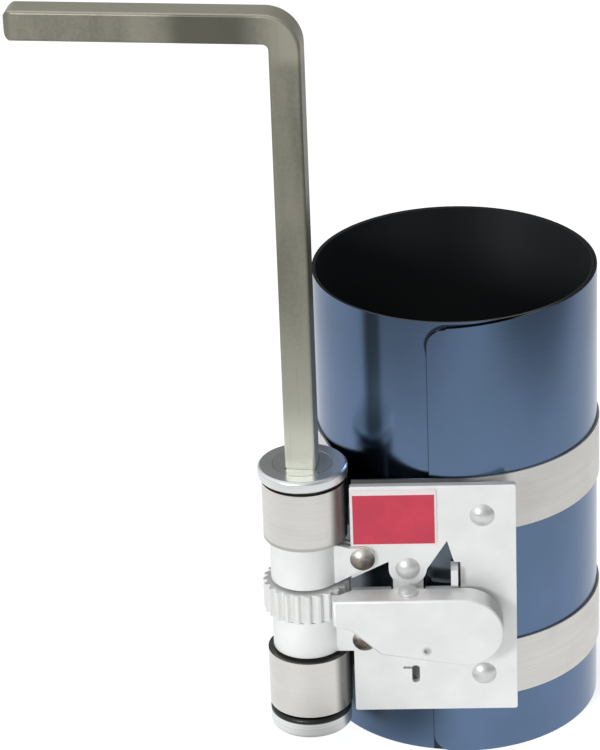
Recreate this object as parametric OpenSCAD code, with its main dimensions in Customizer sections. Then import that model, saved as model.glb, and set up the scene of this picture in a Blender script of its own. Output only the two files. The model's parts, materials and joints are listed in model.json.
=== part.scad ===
// Piston ring compressor: a sprung sleeve drawn in by two bands that wind on a ratchet spindle.
// The sleeve stands on its lower rim with its axis on Z, and the ratchet plate faces -Y.

/* [Sleeve] */
// Diameter of the piston that the sleeve is closed on
piston_d = 58.2; // [52:0.1:80]
// Height of the sleeve
sleeve_h = 101.6; // [85:0.1:120]
// Thickness of the sleeve's spring steel
sleeve_t = 0.5; // [0.4:0.05:0.6]
// Gap between one lap of the sleeve and the next
lap_gap = 0.12; // [0.1:0.01:0.2]
// Angle round the sleeve at which the outer lap ends
outer_end_angle = 259; // [252:1:268]
// Angle round the sleeve at which the inner lap ends
inner_end_angle = 234; // [200:1:245]
// Radius of the corners at the end of the outer lap
lap_corner_r = 4; // [1:0.5:8]
// Fall of the outer lap's upper edge towards its end
lap_drop = 1.4; // [0.4:0.1:3]
// Length of the stretch over which the outer lap's upper edge falls
lap_slope_run = 20; // [10:1:24]

/* [Bands] */
// Width of each band
band_w = 13; // [10:0.1:16]
// Thickness of each band
band_t = 0.45; // [0.3:0.05:0.6]
// Gap between a band and what it lies on
band_gap = 0.05; // [0.03:0.01:0.1]
// Half turns of each band that are wound on the spindle
coil_half_turns = 9; // [5:2:13]
// Length of the bent band end that sits in the spindle's slot
band_hook = 0.8; // [0.5:0.1:1.2]

/* [Ratchet plate] */
// Width of the ratchet plate
plate_w = 34.5; // [30:0.5:44]
// Height of the ratchet plate
plate_h = 53.8; // [52:0.2:60]
// Thickness of the ratchet plate
plate_t = 1.5; // [1:0.1:2]
// Distance from the sleeve's axis to the plate's left edge
plate_left = 22.4; // [20:0.1:26]
// Height of the plate's lower edge above the sleeve's lower rim
plate_base = 11.9; // [6:0.1:12.5]
// Radius of the plate's corners
plate_corner_r = 0.5; // [0.3:0.1:3]
// Width of the tongue that hangs into the plate's window
tongue_w = 8; // [6:0.1:9]
// Width of the label
label_w = 17.8; // [12:0.2:18]
// Height of the label
label_h = 13; // [9:0.2:13.2]
// Thickness of the label
label_t = 0.3; // [0.2:0.1:0.6]
// Distance from the plate's right edge to the band rivets
band_rivet_inset = 7; // [4:0.1:9]

/* [Spindle] */
// Radius of the spindle's barrel
barrel_r = 6.2; // [5.8:0.1:6.6]
// Height of the spindle's lower end above the sleeve's lower rim
spindle_base = 8.2; // [7:0.1:12]
// Distance from the plate's left edge to the spindle's axis
spindle_reach = 9.6; // [9.5:0.1:12]
// Distance of the spindle's axis behind the plate's front
spindle_set_back = 3.2; // [0.8:0.1:3.6]
// Gap along the spindle between one piece and the next
stack_gap = 0.7; // [0.4:0.05:0.8]
// Thickness of the bottom cap
bottom_cap_t = 4.6; // [3:0.1:5]
// Radius of the bottom cap
bottom_cap_r = 8.65; // [8:0.05:9]
// Thickness of the top cap
top_cap_t = 2.8; // [2:0.1:4]
// Radius of the top cap
top_cap_r = 9.4; // [9:0.1:11]
// Thickness of the knuckle straps
strap_t = 1.2; // [0.8:0.1:1.5]
// Height of the lower knuckle
lower_knuckle_h = 8.4; // [7:0.1:10]
// Height of the upper knuckle
upper_knuckle_h = 9.2; // [7:0.1:10]

/* [Ratchet] */
// Number of teeth on the ratchet wheel
teeth = 24; // [20:1:28]
// Radius over the teeth
ratchet_r = 9.2; // [8.8:0.1:9.4]
// Height of the ratchet wheel
ratchet_h = 6.6; // [6:0.1:8]
// Depth of a tooth
tooth_depth = 0.9; // [0.6:0.05:1]
// Slope of a tooth's locking flank from the radius
lock_slope = 26; // [24:1:32]
// Slope of a tooth's climbing flank from the radius
climb_slope = 55; // [52:1:58]

/* [Release lever] */
// Thickness of the lever's sheet
lever_t = 1.2; // [0.8:0.1:1.5]
// Radius of the lever's thumb end
thumb_r = 7.95; // [7:0.05:9]
// Distance from the plate's left edge to the middle of the thumb end
thumb_x = 23.7; // [22:0.1:25]
// Height of the lever's nose
nose_h = 5.9; // [4.5:0.1:6]
// Angle round the spindle, from the right, at which the nose meets the ratchet wheel
nose_angle = 55; // [50:1:58]
// Distance from the plate's left edge to the lever's pivot
pivot_x = 11.8; // [11:0.1:13]
// Distance of the lever's pivot in front of the plate
pivot_y = 3.8; // [3.6:0.1:4.4]
// Turn of the lever from the tooth tips down to its seat between two teeth
seat_angle = 3.4; // [3:0.1:4]
// Radius of the lever's pivot pin
pin_r = 1.2; // [1:0.05:1.4]
// Thickness of the lever's bracket
bracket_t = 1.2; // [1:0.1:1.4]
// Width of the lever's bracket
bracket_w = 6.4; // [5.6:0.1:6.6]
// Diameter of the lever spring's wire
wire_d = 0.6; // [0.4:0.05:0.7]
// Turns of the lever's spring
spring_turns = 5; // [3:1:5]

/* [Rivets] */
// Radius of a rivet's head
head_r = 2.6; // [2.2:0.1:2.6]
// Height of a rivet's head
head_h = 1.2; // [0.8:0.1:1.4]
// Radius of a rivet's shank
shank_r = 1.45; // [1.2:0.05:1.6]

/* [Key] */
// Width across the flats of the square key
key_w = 6.35; // [6:0.05:6.5]
// Clearance of the key in its socket, on each side
key_clear = 0.1; // [0.08:0.01:0.15]
// Length of the key in its socket
key_depth = 20; // [12:0.5:28]
// Height of the key above the spindle
key_rise = 99.6; // [60:0.2:120]
// Length of the key's handle from the spindle's axis
key_handle = 56.2; // [30:0.1:80]
// Radius inside the key's bend
key_bend_r = 1.2; // [0.8:0.1:8]
// Turn of the key's handle from the plate's own direction
key_turn = 6; // [-30:1:30]
// Radius of the key's long edges
key_edge_r = 0.6; // [0.3:0.1:1.2]
// Radius of the corners at the end of the key's handle
key_end_r = 2.2; // [1:0.1:3]

/* [Hidden] */
$fn = 96;

// Clearances
seat_gap = 0.02;
hole_gap = 0.05;
run_gap = 0.1;
coil_run = 0.3;

// Sleeve: the outer lap and the inner lap are arcs on the axis, and a half turn on a shifted centre joins them
bore_r = piston_d / 2;
lap_pitch = sleeve_t + lap_gap;
sleeve_r = bore_r + lap_pitch + sleeve_t;
ramp_start = outer_end_angle - 180;
ramp_centre = lap_pitch / 2 * [cos(ramp_start), sin(ramp_start)];

// Plate and bands: the bands lie on the sleeve, and the plate lies flat on the bands' fixed ends
band_r = sleeve_r + band_gap;
plate_back = -(band_r + band_t);
plate_front = plate_back - plate_t;
plate_top = plate_base + plate_h;

// Spindle: its axis is left of the plate and a little behind it
axis = [-plate_left - spindle_reach, plate_front + spindle_set_back];
lower_coil_z = spindle_base + bottom_cap_t + stack_gap;
lower_knuckle_z = lower_coil_z + band_w + stack_gap;
ratchet_z = lower_knuckle_z + lower_knuckle_h + stack_gap;
upper_knuckle_z = ratchet_z + ratchet_h + stack_gap;
upper_coil_z = upper_knuckle_z + upper_knuckle_h + stack_gap;
top_cap_z = upper_coil_z + band_w + stack_gap;
spindle_top = top_cap_z + top_cap_t;

// Coil: half turns on two centres, so that each meets the next smoothly
coil_pitch = band_t + band_gap;
coil_start_r = barrel_r + band_gap + coil_pitch / 4;
coil_r = barrel_r + band_gap + coil_half_turns * coil_pitch / 2 + band_t;

// Free run of each band: the inner tangent from the sleeve's ramp to the coil
run_r = band_r - lap_pitch / 2 + band_t / 2;
wind_r = coil_r + coil_run + band_t / 2;
centre_line = axis - ramp_centre;
run_normal = atan2(centre_line.y, centre_line.x) + 360 - acos((run_r + wind_r) / norm(centre_line));
run_length = sqrt(norm(centre_line) ^ 2 - (run_r + wind_r) ^ 2);
coil_end_angle = run_normal - 180;
coil_start_angle = coil_end_angle - 180 * coil_half_turns;

// Lever: at rest its nose rides just clear of the tooth tips
nose_clear = 0.12;
nose_rake = 0.45;
nose_t = 2.95;
nose_edge = [1.75, 0.08];
nose_relief = 2.2;
lever_back_gap = 2.1;
neck = [4.05, 1.35];
belly = [10.15, 7.05];
edge_bite = 0.03;
dimple_r = 0.55;
dimple_place = [8.2, 4.2];
nose = axis + (ratchet_r + nose_clear) * [cos(nose_angle), -sin(nose_angle)];
lever_face = nose.y - nose_t;
lever_back = plate_front - lever_back_gap;
lever_top = ratchet_z + (ratchet_h + nose_h) / 2;
nose_bottom = lever_top - nose_h;
thumb = [thumb_x - plate_left, lever_top - thumb_r];
neck_slope = atan2(neck.y, neck.x);
belly_slope = atan2(belly.y - neck.y, belly.x - neck.x);
belly_point = [nose.x + belly.x, nose_bottom - belly.y];
pivot = [pivot_x - plate_left, plate_front - pivot_y];
seated_nose = pivot + turned(nose - pivot, -seat_angle);
gullet_angle = atan2(seated_nose.y - axis.y, seated_nose.x - axis.x);
root_flat = 0.16;

// Bracket: its two ears stand inside the lever and hold the pin
ear_end = 2.05;
ear_gap = 0.32;
upper_ear_z = lever_top - lever_t - ear_gap - bracket_t;
ear_drop = 9.15;
lower_ear_z = lever_top - ear_drop;
bracket_foot = 5;
bracket_rivet_drop = 2.7;
tongue_rise = 2.6;
bracket_base = lower_ear_z - bracket_foot;
tongue_z = upper_knuckle_z + tongue_rise;
bracket_top = tongue_z + tongue_w / 2;
bracket_rivet_low = lower_ear_z - bracket_rivet_drop;

// Window, stop ear and slot of the plate, set out from the lever's pivot and the tongue
window_floor_drop = 1.4;
window_shoulder = 1.4;
window_left = 4.6;
window_left_rise = 2.4;
window_right = 10.5;
window_step = 1.3;
window_apex = [8.3, 6.4];
window_ear_gap = 0.4;
tongue_side = [0.78, -0.4];
stop_size = [1.5, 2.6, 3.6];
stop_rise = 0.85;
stop_slit = 0.5;
slot_size = [1.6, 4.2];
slot_place = [0.4, 6.6];
slot_arm = [2.6, 0.5];

// Rivets
band_rivet_x = plate_w - plate_left - band_rivet_inset;
upper_band_rivet_drop = 1.4;
lower_band_rivet_rise = 0.6;
knuckle_rivet_inset = 2.4;
knuckle_rivet_rise = 1;
upper_band_rivet_z = upper_coil_z + band_w / 2 - upper_band_rivet_drop;
lower_band_rivet_z = lower_coil_z + band_w / 2 + lower_band_rivet_rise;
knuckle_rivet_x = -plate_left + knuckle_rivet_inset;
upper_knuckle_rivet_z = upper_knuckle_z + upper_knuckle_h / 2 + knuckle_rivet_rise;
lower_knuckle_rivet_z = lower_knuckle_z + head_r;
tail_head_r = 2.1;
strap_shoulder = 0.2;
tail_head_h = 0.5;

// Label: it stands just above the upper knuckle's tail
label_inset = 0.2;
label_gap = 0.1;
label_corner_r = 0.4;

// Key and its socket
socket_w = key_w + 2 * key_clear;
socket_floor = 1;
key_top = spindle_top + key_rise;
key_bottom = spindle_top - key_depth;

// A vector turned by an angle
function turned(v, a) = [v.x * cos(a) - v.y * sin(a), v.x * sin(a) + v.y * cos(a)];

// Slope of the lever's lower edge from the belly to the thumb end, which it meets nearly as a tangent
function edge_slope() =
    let (d = thumb - belly_point)
    asin((thumb_r - edge_bite) / norm(d)) - atan2(d.y, d.x);

// Height of the lever's lower edge between the belly and the thumb end
function lower_edge(x) = belly_point.y - (x - belly_point.x) * tan(edge_slope());

// A corner of the lever's lower edge, between a slope before it and a slope after it, drawn in by an inset
function edge_corner(p, before, after, inset) =
    let (x = inset * (1 / cos(before) - 1 / cos(after)) / (tan(before) - tan(after)))
    p + [x, inset / cos(before) - x * tan(before)];

// A strip on edge, bent to an arc round a centre
module bent_strip(centre, r, t, w, from, to) {
    translate([centre.x, centre.y, 0])
        rotate_extrude(angle = to - from, start = from)
            translate([r, 0])
                square([t, w]);
}

// A flat piece cut to an outline in X and Z, with its front face at a depth y and its thickness going back
module sheet_xz(y, t) {
    translate([0, y + t, 0])
        rotate([90, 0, 0])
            linear_extrude(height = t)
                children();
}

// A hole or shank along Y
module along_y(x, z, r, y, length) {
    translate([x, y, z])
        rotate([-90, 0, 0])
            cylinder(h = length, r = r);
}

// A rivet with its domed head in front at a depth y
module rivet(x, z, y, grip) {
    dome_r = (head_r * head_r + head_h * head_h) / (2 * head_h);
    along_y(x, z, shank_r, y, grip);
    intersection() {
        translate([x, y - head_h + dome_r, z])
            sphere(r = dome_r);
        along_y(x, z, head_r, y - head_h, head_h);
    }
}

// The flat head that closes a rivet behind the sheets
module rivet_tail(x, z, y) {
    along_y(x, z, tail_head_r, y, tail_head_h);
}

// A rectangle with rounded corners
module rounded_rectangle(size, r) {
    translate([r, 0])
        square([size.x - 2 * r, size.y]);
    translate([0, r])
        square([size.x, size.y - 2 * r]);
    for (x = [r, size.x - r], z = [r, size.y - r])
        translate([x, z])
            circle(r = r);
}

// The block that leaves a rounded corner at the end of the outer lap
module lap_corner(z, up) {
    depth = 4 * sleeve_t;
    over = 1;
    translate([0, 0, z])
        rotate([0, 0, outer_end_angle])
            translate([sleeve_r - depth, 0, 0])
                rotate([90, 0, 90])
                    linear_extrude(height = 2 * depth)
                        difference() {
                            translate([-over, up ? -lap_corner_r : -over])
                                square([lap_corner_r + over, lap_corner_r + over]);
                            translate([lap_corner_r, up ? -lap_corner_r : lap_corner_r])
                                circle(r = lap_corner_r);
                        }
}

// The wedge that leaves the outer lap's upper edge falling towards its end
module lap_slope() {
    over = 1;
    steepness = lap_drop / lap_slope_run;
    translate([0, 0, sleeve_h])
        rotate([0, 0, outer_end_angle])
            translate([bore_r / 2, 0, 0])
                rotate([90, 0, 90])
                    linear_extrude(height = bore_r)
                        polygon([[-over, -lap_drop - over * steepness], [lap_slope_run + over, over * steepness],
                                 [-over, over]]);
}

// The sleeve: one strip of spring steel, wound nearly two turns
module sleeve() {
    color("#3d5478")
        union() {
            difference() {
                bent_strip([0, 0], bore_r + lap_pitch, sleeve_t, sleeve_h, outer_end_angle - 360, ramp_start);
                lap_slope();
                lap_corner(sleeve_h - lap_drop, true);
                lap_corner(0, false);
            }
            bent_strip(ramp_centre, bore_r + lap_pitch / 2, sleeve_t, sleeve_h, ramp_start, outer_end_angle);
            bent_strip([0, 0], bore_r, sleeve_t, sleeve_h, outer_end_angle, inner_end_angle + 360);
        }
}

// A band: flat behind the plate, round the sleeve, then straight to its coil; the straight run is let into the arc
module band(z, rivet_z) {
    end_inset = 0.4;
    run_inset = 0.02;
    run_lead = 0.4;
    ramp_r = band_r - lap_pitch / 2;
    difference() {
        translate([0, 0, z])
            union() {
                translate([-plate_left + end_inset, -band_r - band_t, 0])
                    cube([plate_left - end_inset, band_t, band_w]);
                bent_strip([0, 0], band_r, band_t, band_w, -90, ramp_start);
                bent_strip(ramp_centre, ramp_r, band_t, band_w, ramp_start, run_normal);
                translate([ramp_centre.x, ramp_centre.y, 0])
                    rotate([0, 0, run_normal])
                        translate([ramp_r + run_inset, -run_lead, run_inset])
                            cube([band_t - 2 * run_inset, run_length + run_lead, band_w - 2 * run_inset]);
            }
        along_y(band_rivet_x, rivet_z, shank_r + hole_gap, plate_front, sleeve_r / 2);
    }
}

module upper_band() {
    color("#b9b5ad") band(upper_coil_z, upper_band_rivet_z);
}

module lower_band() {
    color("#b9b5ad") band(lower_coil_z, lower_band_rivet_z);
}

// The wound part of a band, with its bent end in the spindle's slot
module band_coil(z) {
    translate([axis.x, axis.y, z])
        rotate([0, 0, coil_start_angle])
            union() {
                for (k = [0 : coil_half_turns - 1])
                    bent_strip([(k % 2 == 0 ? -1 : 1) * coil_pitch / 4, 0], coil_start_r + k * coil_pitch / 2,
                               band_t, band_w, k % 2 == 0 ? 0 : 180, k % 2 == 0 ? 180 : 360);
                translate([barrel_r - band_hook, 0, 0])
                    cube([band_hook + band_gap + band_t / 2, band_t, band_w]);
            }
}

module upper_band_coil() {
    color("#c4c0b8") band_coil(upper_coil_z);
}

module lower_band_coil() {
    color("#c4c0b8") band_coil(lower_coil_z);
}

// The window in the plate, through which the bracket's ears pass, round a hanging tongue
module plate_window() {
    over = 1;
    mid = pivot.x;
    left = -plate_left - over;
    right = mid + window_right + stop_slit;
    floor_z = lever_top - window_floor_drop;
    shoulder_z = tongue_z + window_shoulder;
    apex = [mid, tongue_z] + window_apex;
    tongue_r = tongue_w / 2;
    difference() {
        polygon([[left, floor_z], [right, floor_z], [right, shoulder_z], [right - window_step, shoulder_z], apex,
                 [mid - window_left, shoulder_z], [left, floor_z + window_left_rise]]);
        translate([mid, tongue_z])
            circle(r = tongue_r);
        polygon([[mid - tongue_r, tongue_z], [mid - tongue_r, apex.y + over], [apex.x, apex.y + over], apex,
                 [mid, tongue_z] + tongue_side * tongue_r]);
    }
    translate([mid - bracket_w / 2 - window_ear_gap, lower_ear_z - window_ear_gap])
        square([bracket_w + 2 * window_ear_gap, floor_z - lower_ear_z + window_ear_gap + over]);
}

// The slot below the lever, with a short arm at its upper end, drawn from its lower left corner
module bent_slot() {
    rounded_rectangle(slot_size, slot_size.x / 2.1);
    translate([slot_size.x / 2 - slot_arm.x, slot_size.y - slot_size.x / 2])
        square(slot_arm);
}

// The stop ear: a tab that stands on the window's floor, with its upper part bent forward
module stop_ear() {
    left = pivot.x + window_right - stop_size.x;
    root = lever_top - 2 * window_floor_drop;
    bottom = lever_top + stop_rise;
    translate([left, plate_front, root])
        cube([stop_size.x, plate_t, bottom + stop_size.z - root]);
    translate([left, plate_front - stop_size.y, bottom])
        cube(stop_size + [0, plate_t, 0]);
}

// The ratchet plate with its window, stop ear, slot and rivet holes
module ratchet_plate() {
    over = 1;
    holes = [[band_rivet_x, upper_band_rivet_z], [band_rivet_x, lower_band_rivet_z],
             [knuckle_rivet_x, upper_knuckle_rivet_z], [knuckle_rivet_x, lower_knuckle_rivet_z],
             [pivot.x, tongue_z], [pivot.x, bracket_rivet_low]];
    color("#e6e8ea")
        difference() {
            union() {
                sheet_xz(plate_front, plate_t)
                    difference() {
                        translate([-plate_left, plate_base])
                            rounded_rectangle([plate_w, plate_h], plate_corner_r);
                        plate_window();
                        translate([pivot.x + slot_place.x, plate_base + slot_place.y])
                            bent_slot();
                    }
                stop_ear();
            }
            for (hole = holes)
                along_y(hole.x, hole.y, shank_r + hole_gap, plate_front - over, plate_t + 2 * over);
        }
}

// The plain label on the plate's upper left
module label_plate() {
    color("#c8384a")
        sheet_xz(plate_front - label_t, label_t)
            translate([-plate_left + label_inset, upper_knuckle_rivet_z + head_r + label_gap])
                rounded_rectangle([label_w, label_h], label_corner_r);
}

// A knuckle: a strap looped round the spindle, with two tails that hold the plate between them
module knuckle(z, h, rivet_z) {
    loop_r = barrel_r + run_gap;
    tail_y = plate_front - strap_t;
    color("#e2e4e6")
        difference() {
            union() {
                translate([axis.x, axis.y, z])
                    cylinder(h = h, r = loop_r + strap_t);
                sheet_xz(tail_y, 2 * strap_t + plate_t) {
                    difference() {
                        union() {
                            polygon([[axis.x, z], [axis.x, z + h], [axis.x + loop_r, z + h],
                                     [-plate_left - strap_shoulder, rivet_z + head_r], [knuckle_rivet_x, rivet_z + head_r],
                                     [knuckle_rivet_x, rivet_z - head_r], [axis.x + loop_r, z]]);
                            translate([knuckle_rivet_x, rivet_z])
                                circle(r = head_r);
                        }
                        translate([axis.x, z - head_r])
                            square([plate_left, head_r]);
                    }
                }
            }
            translate([axis.x, axis.y, z - 1])
                cylinder(h = h + 2, r = loop_r);
            translate([axis.x, plate_front, z - 1])
                cube([plate_left, plate_t, h + 2]);
            along_y(knuckle_rivet_x, rivet_z, shank_r + hole_gap, tail_y - 1, 2 * strap_t + plate_t + 2);
        }
}

module upper_knuckle() {
    knuckle(upper_knuckle_z, upper_knuckle_h, upper_knuckle_rivet_z);
}

module lower_knuckle() {
    knuckle(lower_knuckle_z, lower_knuckle_h, lower_knuckle_rivet_z);
}

// The two rivets that hold the plate on the bands, each ending flush inside its band
module band_rivets() {
    reach = band_rivet_x - shank_r;
    shank_end = -sqrt(band_r * band_r - reach * reach) - seat_gap;
    color("#d4d6d8")
        for (z = [upper_band_rivet_z, lower_band_rivet_z])
            rivet(band_rivet_x, z, plate_front, shank_end - plate_front);
}

// The two rivets that hold the knuckles on the plate
module knuckle_rivets() {
    color("#a89c86")
        for (z = [upper_knuckle_rivet_z, lower_knuckle_rivet_z]) {
            rivet(knuckle_rivet_x, z, plate_front - strap_t, 2 * strap_t + plate_t);
            rivet_tail(knuckle_rivet_x, z, plate_back + strap_t);
        }
}

// The two rivets that hold the lever's bracket behind the plate, flush behind it
module bracket_rivets() {
    color("#cfc9cb")
        for (z = [tongue_z, bracket_rivet_low])
            rivet(pivot.x, z, plate_front, plate_t + bracket_t);
}

// The spindle: a barrel with a square socket for the key and a slot for the end of each band
module spindle() {
    slot_w = band_t + 2 * hole_gap;
    color("#8f9296")
        difference() {
            translate([axis.x, axis.y, spindle_base])
                cylinder(h = spindle_top - spindle_base, r = barrel_r);
            translate([axis.x, axis.y, key_bottom - socket_floor])
                rotate([0, 0, -key_turn])
                    translate([-socket_w / 2, -socket_w / 2, 0])
                        cube([socket_w, socket_w, key_depth + socket_floor + 1]);
            for (z = [lower_coil_z, upper_coil_z])
                translate([axis.x, axis.y, z - hole_gap])
                    rotate([0, 0, coil_start_angle])
                        translate([barrel_r - band_hook - hole_gap, -hole_gap, 0])
                            cube([2 * band_hook, slot_w, band_w + 2 * hole_gap]);
        }
}

// One gullet between two teeth, drawn with its floor on the root circle along X
module gullet() {
    root_r = ratchet_r - tooth_depth;
    over = tooth_depth + 0.5;
    polygon([[root_r, -root_flat / 2], [root_r + over, -root_flat / 2 - over * tan(lock_slope)],
             [root_r + over, root_flat / 2 + over * tan(climb_slope)], [root_r, root_flat / 2]]);
}

// The ratchet wheel: a ring of saw teeth that lock one way and climb the other
module ratchet_wheel() {
    color("#c9ccce")
        translate([axis.x, axis.y, ratchet_z])
            linear_extrude(height = ratchet_h)
                difference() {
                    circle(r = ratchet_r);
                    circle(r = barrel_r + seat_gap);
                    for (k = [0 : teeth - 1])
                        rotate(gullet_angle + 360 / teeth * k)
                            gullet();
                }
}

// A cap that closes an end of the spindle, turned with a chamfer on both rims
module cap(z, r, t) {
    chamfer = 0.5;
    translate([axis.x, axis.y, z])
        rotate_extrude()
            polygon([[barrel_r + seat_gap, 0], [r - chamfer, 0], [r, chamfer], [r, t - chamfer], [r - chamfer, t],
                     [barrel_r + seat_gap, t]]);
}

module top_cap() {
    color("#8b8c90") cap(top_cap_z, top_cap_r, top_cap_t);
}

module bottom_cap() {
    color("#b4b6b8") cap(spindle_base, bottom_cap_r, bottom_cap_t);
}

// The lever's outline in X and Z: a straight top, a neck, a belly and a round thumb end, all drawn in by an inset
module lever_outline(inset) {
    slope = edge_slope();
    r = thumb_r - inset;
    tangent = thumb - (r - edge_bite) * [sin(slope), cos(slope)];
    polygon([[nose.x, lever_top - inset], [nose.x, nose_bottom + inset / cos(neck_slope)],
             edge_corner([nose.x + neck.x, nose_bottom - neck.y], neck_slope, belly_slope, inset),
             edge_corner(belly_point, belly_slope, slope, inset), tangent, thumb, [thumb.x, lever_top - inset]]);
    translate(thumb)
        circle(r = r);
}

// The lever seen from above: a thin nose, a relief round the ratchet wheel and a deep thumb end
module lever_plan() {
    right = thumb.x + thumb_r + 1;
    polygon([[nose.x + nose_rake, lever_face], nose, nose + nose_edge,
             [axis.x + ratchet_r + 0.6, nose.y + nose_relief], [pivot.x - bracket_w / 2, lever_back],
             [right, lever_back], [right, lever_face]]);
}

// The release lever: a dished stamping that rocks on its pin
module release_lever() {
    nose_wall = 2.6;
    dimple = [thumb.x - dimple_place.x, thumb.y - dimple_place.y];
    color("#dfe1de")
        difference() {
            intersection() {
                sheet_xz(lever_face - 1, lever_back - lever_face + 2)
                    lever_outline(0);
                translate([0, 0, nose_bottom - 2 * thumb_r])
                    linear_extrude(height = 4 * thumb_r)
                        lever_plan();
            }
            difference() {
                sheet_xz(lever_face + lever_t, lever_back - lever_face)
                    lever_outline(lever_t);
                translate([nose.x - 1, lever_face, nose_bottom - thumb_r])
                    cube([nose_wall + 1, 2 * lever_back_gap + thumb_r, 3 * thumb_r]);
            }
            translate([pivot.x, pivot.y, nose_bottom - 2 * thumb_r])
                cylinder(h = 4 * thumb_r, r = pin_r + hole_gap);
            along_y(dimple.x, dimple.y, dimple_r, lever_face - dimple_r, dimple_r + lever_t / 2);
        }
}

// The pivot pin with its head on the lever's upper flange
module lever_pin() {
    pin_head_r = 2;
    pin_head_h = 0.6;
    end_proud = 0.4;
    pin_bottom = lower_edge(pivot.x + pin_r) - end_proud;
    color("#b0b2b4")
        translate([pivot.x, pivot.y, 0]) {
            translate([0, 0, pin_bottom])
                cylinder(h = lever_top + hole_gap - pin_bottom, r = pin_r);
            translate([0, 0, lever_top + hole_gap])
                cylinder(h = pin_head_h, r = pin_head_r);
        }
}

// One ear of the bracket, with a round end about the pin
module bracket_ear(z) {
    translate([0, 0, z])
        linear_extrude(height = bracket_t)
            difference() {
                union() {
                    translate([pivot.x - bracket_w / 2, pivot.y])
                        square([bracket_w, plate_back + bracket_t - pivot.y]);
                    intersection() {
                        translate(pivot)
                            circle(r = bracket_w / 2);
                        translate([pivot.x - bracket_w, pivot.y - ear_end])
                            square([2 * bracket_w, ear_end + 1]);
                    }
                }
                translate(pivot)
                    circle(r = pin_r + seat_gap);
            }
}

// The lever's bracket: a strip behind the plate with two ears that reach forward through the window
module lever_bracket() {
    color("#d8dadc")
        difference() {
            union() {
                sheet_xz(plate_back, bracket_t)
                    translate([pivot.x - bracket_w / 2, bracket_base])
                        rounded_rectangle([bracket_w, bracket_top - bracket_base], 1);
                bracket_ear(upper_ear_z);
                bracket_ear(lower_ear_z);
            }
            for (z = [tongue_z, bracket_rivet_low])
                along_y(pivot.x, z, shank_r + hole_gap, plate_back - 1, bracket_t + 2);
        }
}

// The path of the lever's spring: a leg on the plate, the turns round the pin and a leg on the lever
function spring_path() =
    let (r = pin_r + 0.25 + wire_d / 2,
         low = lower_ear_z + bracket_t + 0.2 + wire_d / 2,
         high = upper_ear_z - 0.2 - wire_d / 2,
         steps = 16 * spring_turns + 8,
         plate_leg = [pivot.x + 5, plate_front - wire_d / 2 - seat_gap],
         lever_leg = [pivot.x + 4, lever_face + lever_t + wire_d / 2 + 0.36])
    concat([[plate_leg.x, plate_leg.y, low]],
           [for (k = [0 : steps])
               let (a = 70 + (360 * spring_turns + 220) * k / steps)
               [pivot.x + r * cos(a), pivot.y + r * sin(a), low + (high - low) * k / steps]],
           [[lever_leg.x, lever_leg.y, high]]);

// Direction of a path at one of its points
function path_way(path, k) =
    let (v = path[min(k + 1, len(path) - 1)] - path[max(k - 1, 0)])
    v / norm(v);

// A ring of points round a path, square to it
function path_ring(path, k, r, sides) =
    let (way = path_way(path, k),
         side = cross(way, [0, 0, 1]) / norm(cross(way, [0, 0, 1])),
         up = cross(side, way))
    [for (n = [0 : sides - 1]) path[k] + r * (cos(360 * n / sides) * side + sin(360 * n / sides) * up)];

// A round wire that follows a path
module wire(path, r, sides) {
    count = len(path);
    points = [for (k = [0 : count - 1]) each path_ring(path, k, r, sides)];
    walls = [for (k = [0 : count - 2], n = [0 : sides - 1])
        let (m = (n + 1) % sides)
        [k * sides + n, (k + 1) * sides + n, (k + 1) * sides + m, k * sides + m]];
    first = [for (n = [0 : sides - 1]) n];
    last = [for (n = [sides - 1 : -1 : 0]) (count - 1) * sides + n];
    polyhedron(points = points, faces = concat(walls, [first], [last]));
}

// The lever's spring, which holds the nose in the teeth
module lever_spring() {
    color("#77797c") wire(spring_path(), wire_d / 2, 8);
}

// The key's section, drawn from its corner
module key_section() {
    rounded_rectangle([key_w, key_w], key_edge_r);
}

// The key's handle along X: a square bar with a rounded end
module key_bar(length) {
    intersection() {
        rotate([90, 0, 90])
            linear_extrude(height = length)
                key_section();
        translate([0, key_w, 0])
            rotate([90, 0, 0])
                linear_extrude(height = key_w)
                    rounded_rectangle([2 * length, key_w], key_end_r);
        linear_extrude(height = key_w)
            rounded_rectangle([2 * length, key_w], key_end_r);
    }
}

// The key: a square bar bent to a handle
module key() {
    middle = key_bend_r + key_w / 2;
    bend_z = key_top - key_w - key_bend_r;
    color("#8d8b78")
        translate([axis.x, axis.y, 0])
            rotate([0, 0, -key_turn])
                union() {
                    translate([-key_w / 2, -key_w / 2, key_bottom])
                        linear_extrude(height = bend_z - key_bottom)
                            key_section();
                    translate([-middle, key_w / 2, bend_z])
                        rotate([90, 0, 0])
                            rotate_extrude(angle = 90)
                                translate([key_bend_r, 0])
                                    key_section();
                    translate([-key_handle, -key_w / 2, key_top - key_w])
                        key_bar(key_handle - middle);
                }
}

sleeve();
upper_band();
lower_band();
upper_band_coil();
lower_band_coil();
ratchet_plate();
label_plate();
upper_knuckle();
lower_knuckle();
band_rivets();
knuckle_rivets();
bracket_rivets();
spindle();
ratchet_wheel();
top_cap();
bottom_cap();
release_lever();
lever_pin();
lever_bracket();
lever_spring();
key();
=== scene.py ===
"""Dresses a piston ring compressor: finishes, softened edges, a pale studio and a camera."""

import json
import math

import bmesh
import bpy
from mathutils import Matrix, Vector


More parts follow.
